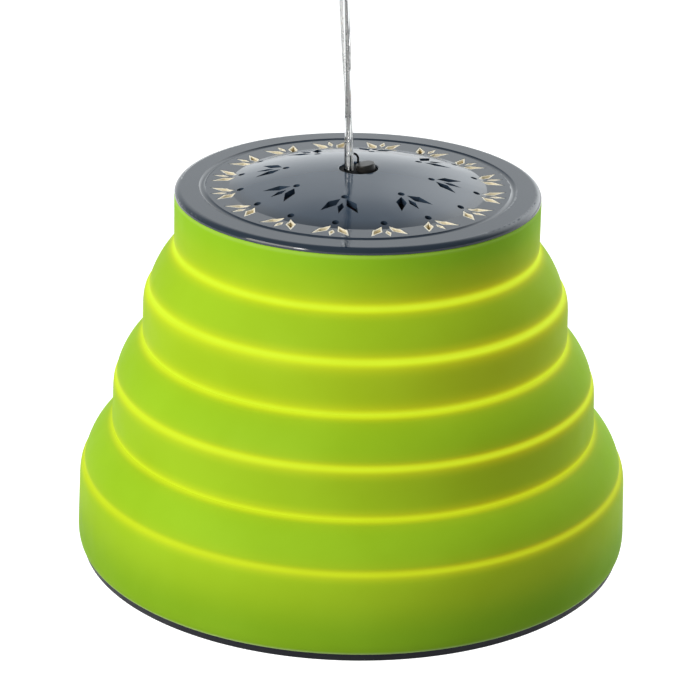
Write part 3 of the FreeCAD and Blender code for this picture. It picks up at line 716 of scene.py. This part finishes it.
def add_button_spring():
    """Coil under the button, drawn at rest; the button's travel shortens the real spring."""
    press = next(joint for joint in frame["joints"] if joint["name"] == "button_press")
    up = -Vector(press["axis"]).normalized()
    across = Vector((0, 1, 0)).cross(up)
    origin = lamp(BUTTON_X, 0, FLOOR_Z)
    mesh = curve_mesh("button_coil", "POLY", helix(origin, across, up), SPRING_WIRE_R * MM)
    mesh.shade_smooth()
    coil = bpy.data.objects.new("button_coil", mesh)
    bpy.context.collection.objects.link(coil)
    paint(moulded("spring_wire", (0.50, 0.51, 0.53), 0.28, grain=900, depth=0.00002, metallic=1.0), coil)
    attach(coil, "lamp")
    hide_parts("button_spring")
    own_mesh(coil)


add_button_spring()


# ---------------------------------------------------------------- finishes of the CAD pieces

DECK_SHADE_SHARE = 0.6                     # painted shade: how bright the deck's colour is, as a share of the dome's, though both are the same plastic
DOME_START, DOME_FULL = 0.3, 2.0     # heights above the deck between which one turns into the other
WELL_DEPTH = 6.0


def cap_gloss():
    """Dark blue-grey gloss plastic with a trace of orange peel, the flat deck darker with painted shade."""
    material, nodes, links, shader = new_material("cap_gloss")
    tint = cloudy(nodes, links, noise(nodes, links, 30, 4), (0.033, 0.055, 0.088), (0.040, 0.063, 0.098))
    deck = BASE_Z + DECK_Z * MM
    # painted shade on the deck
    level = spread(nodes, links, rest_height(nodes, links), DECK_SHADE_SHARE, 1.0,
                   deck + DOME_START * MM, deck + DOME_FULL * MM)
    links.new(shaded(nodes, links, tint, level), shader.inputs["Base Color"])
    haze = noise(nodes, links, 70, 5, 0.6)
    links.new(spread(nodes, links, haze, 0.07, 0.13), shader.inputs["Roughness"])
    bump(nodes, links, shader, noise(nodes, links, 500, 2), 0.12, 0.00002)
    shader.inputs["Specular IOR Level"].default_value = 0.40
    return material


def lined_cream():
    """Cream plastic with painted shade down in the wells of the vents, where it turns brown and nearly
    black.
    """
    material, nodes, links, shader = new_material("cream_liner")
    top = BASE_Z + DECK_Z * MM
    depth = spread(nodes, links, rest_height(nodes, links), 1.0, 0.0, top - WELL_DEPTH * MM, top)
    # painted shade, deeper down the wells
    links.new(ramp(nodes, links, depth,
                   [(0.0, (0.93, 0.87, 0.70)), (0.28, (0.88, 0.77, 0.50)), (0.50, (0.60, 0.46, 0.24)),
                    (0.78, (0.20, 0.13, 0.05)), (1.0, (0.06, 0.035, 0.01))]),
              shader.inputs["Base Color"])
    links.new(spread(nodes, links, noise(nodes, links, 200, 3), 0.35, 0.5), shader.inputs["Roughness"])
    bump(nodes, links, shader, noise(nodes, links, 1200, 2), 0.3, 0.00002)
    return material


FINISHES = {               # finish: (how it is made, the CAD nodes that have it)
    "black_satin": (lambda name: moulded(name, (0.016, 0.017, 0.019), 0.32, vary=0.12),
                    ["cord_bush", "switch_body", "hanger_grip"]),
    "bezel_black": (lambda name: soft_black(name, (0.006, 0.007, 0.008), 0.6, 0.06),
                    ["centre_bezel", "retaining_loop"]),
    "button_gloss": (lambda name: soft_black(name, (0.016, 0.016, 0.015), 0.35, 0.45), ["push_button"]),
    "hanger_black": (lambda name: moulded(name, (0.020, 0.021, 0.024), 0.45, 1100, depth=0.00008, vary=0.12),
                     ["hanger_shell_front", "hanger_shell_back", "supply_inlet"]),
    "cream": (lambda name: lined_cream(), ["vent_liner"]),
    "white_satin": (lambda name: moulded(name, (0.80, 0.80, 0.78), 0.45, vary=0.03),
                    ["light_tray", "terminal_block"]),
    "opal": (lambda name: moulded(name, (0.85, 0.83, 0.76), 0.5, vary=0.02, glow=((1.0, 0.86, 0.60), 0.75)),
             ["diffuser"]),
    "board_white": (lambda name: moulded(name, (0.85, 0.85, 0.83), 0.4, vary=0.03), ["led_board"]),
    "board_green": (lambda name: moulded(name, (0.02, 0.16, 0.06), 0.35, vary=0.12), ["driver_board"]),
    "parts_dark": (lambda name: moulded(name, (0.05, 0.05, 0.055), 0.4, vary=0.2), ["driver_parts"]),
    "phosphor": (lambda name: moulded(name, (0.85, 0.68, 0.15), 0.35, vary=0.04), ["led_chips"]),
    "red_lead": (lambda name: moulded(name, (0.30, 0.03, 0.02), 0.4, vary=0.1),
                 ["flex_cores", "switch_leads", "led_leads", "hanger_leads"]),
    "zinc": (lambda name: moulded(name, (0.55, 0.56, 0.57), 0.30, grain=900, depth=0.00004, metallic=1.0),
             ["tray_screws", "driver_screws", "led_screws", "hanger_screws", "swivel_eye"]),
    "brass": (lambda name: moulded(name, (0.72, 0.52, 0.20), 0.25, metallic=1.0), ["inlet_pin"]),
    "cap": (lambda name: cap_gloss(), ["top_cap"]),
}
for finish, (make, nodes) in FINISHES.items():
    paint(make(finish), *(frame["nodes"][node] for node in nodes))


# ---------------------------------------------------------------- studio

def area_light(name, place, target, size, radiance, colour):
    """Softbox of (width, height) metres at a place, turned to target; radiance is its face's brightness."""
    data = bpy.data.lights.new(name, "AREA")
    data.color = colour
    data.shape = "RECTANGLE"
    data.size, data.size_y = size
    data.energy = radiance * size[0] * size[1] * math.pi
    light = bpy.data.objects.new(name, data)
    bpy.context.collection.objects.link(light)
    light.location = place
    light.rotation_euler = (Vector(target) - Vector(place)).to_track_quat("-Z", "Y").to_euler()


FLOOR_DROP, FLOOR_HALF = 0.45, 60.0      # metres


def add_floor():
    """Plain pale floor, well under the hanging lamp."""
    z = BASE_Z - FLOOR_DROP
    corners = [(x * FLOOR_HALF, y * FLOOR_HALF, z) for x, y in ((-1, -1), (1, -1), (1, 1), (-1, 1))]
    mesh = bpy.data.meshes.new("floor")
    mesh.from_pydata(corners, [], [(0, 1, 2, 3)])
    floor = bpy.data.objects.new("floor", mesh)
    bpy.context.collection.objects.link(floor)
    material, nodes, links, shader = new_material("pale_floor")
    shader.inputs["Base Color"].default_value = (0.85, 0.85, 0.85, 1)
    shader.inputs["Roughness"].default_value = 0.9
    shader.inputs["Emission Color"].default_value = (1, 1, 1, 1)
    shader.inputs["Emission Strength"].default_value = 0.6
    paint(material, floor)
    floor.visible_diffuse = False


BEHIND = (0.30, 0.95, 0.0)       # direction of the brighter side of the room
BEHIND_GAIN = 2.0
WINDOW = (0.62, 0.68, 0.38)      # direction of a soft bright patch, behind and to the right
WINDOW_GAIN = 1.8
ROOM_LEVEL = 0.27                # all round
ROOM_TINT = (0.95, 0.985, 1.0)
# Levels of the bright side, each with the upward part of its direction.
WALL_GLOW = [(-1.0, 0.9), (0.0, 1.25), (0.36, 0.85), (0.60, 1.55), (0.80, 0.8), (1.0, 0.2)]


def toward(nodes, links, way, direction):
    """How far a way points along a direction."""
    node = nodes.new("ShaderNodeVectorMath")
    node.operation = "DOT_PRODUCT"
    links.new(way, node.inputs[0])
    node.inputs[1].default_value = direction
    return node.outputs["Value"]


def arithmetic(nodes, links, operation, a, b):
    """a and b added or multiplied; b is an output or a number."""
    node = nodes.new("ShaderNodeMath")
    node.operation = operation
    links.new(a, node.inputs[0])
    if isinstance(b, float):
        node.inputs[1].default_value = b
    else:
        links.new(b, node.inputs[1])
    return node.outputs["Value"]


def add_room():
    """Soft surroundings: even and dim in front, a smooth bright wall behind the lamp."""
    world = bpy.data.worlds.new("studio")
    bpy.context.scene.world = world
    world.use_nodes = True
    nodes, links = world.node_tree.nodes, world.node_tree.links
    way = nodes.new("ShaderNodeTexCoord").outputs["Generated"]
    split = nodes.new("ShaderNodeSeparateXYZ")
    links.new(way, split.inputs["Vector"])
    glow = ramp(nodes, links, spread(nodes, links, split.outputs["Z"], 0.0, 1.0, -1.0, 1.0),
                [((z + 1) / 2, (level / 2,) * 3) for z, level in WALL_GLOW])
    behind = spread(nodes, links, toward(nodes, links, way, BEHIND), 0.0, BEHIND_GAIN, 0.15, 0.85)
    window = spread(nodes, links, toward(nodes, links, way, WINDOW), 0.0, WINDOW_GAIN, 0.80, 1.0)
    lit = arithmetic(nodes, links, "ADD", arithmetic(nodes, links, "MULTIPLY", glow, behind), window)
    total = arithmetic(nodes, links, "ADD", lit, ROOM_LEVEL)
    links.new(total, nodes["Background"].inputs["Strength"])
    nodes["Background"].inputs["Color"].default_value = (*ROOM_TINT, 1)


LIT_Z = 90.0               # the height that the lights point at


def add_studio():
    """A large warm key from the left, a small kicker beside it and the room; lengths here are metres."""
    middle = lamp(0, 0, LIT_Z)
    area_light("key", middle + Vector((-1.9, -1.3, 0.9)), middle, size=(1.3, 1.3), radiance=7.4,
               colour=(1.0, 0.94, 0.86))
    area_light("kicker", middle + Vector((-1.2, -1.7, 0.95)), middle, size=(0.25, 0.5), radiance=28.0,
               colour=(1.0, 0.97, 0.94))
    add_room()
    bpy.context.scene.view_settings.view_transform = "Standard"


add_floor()
add_studio()
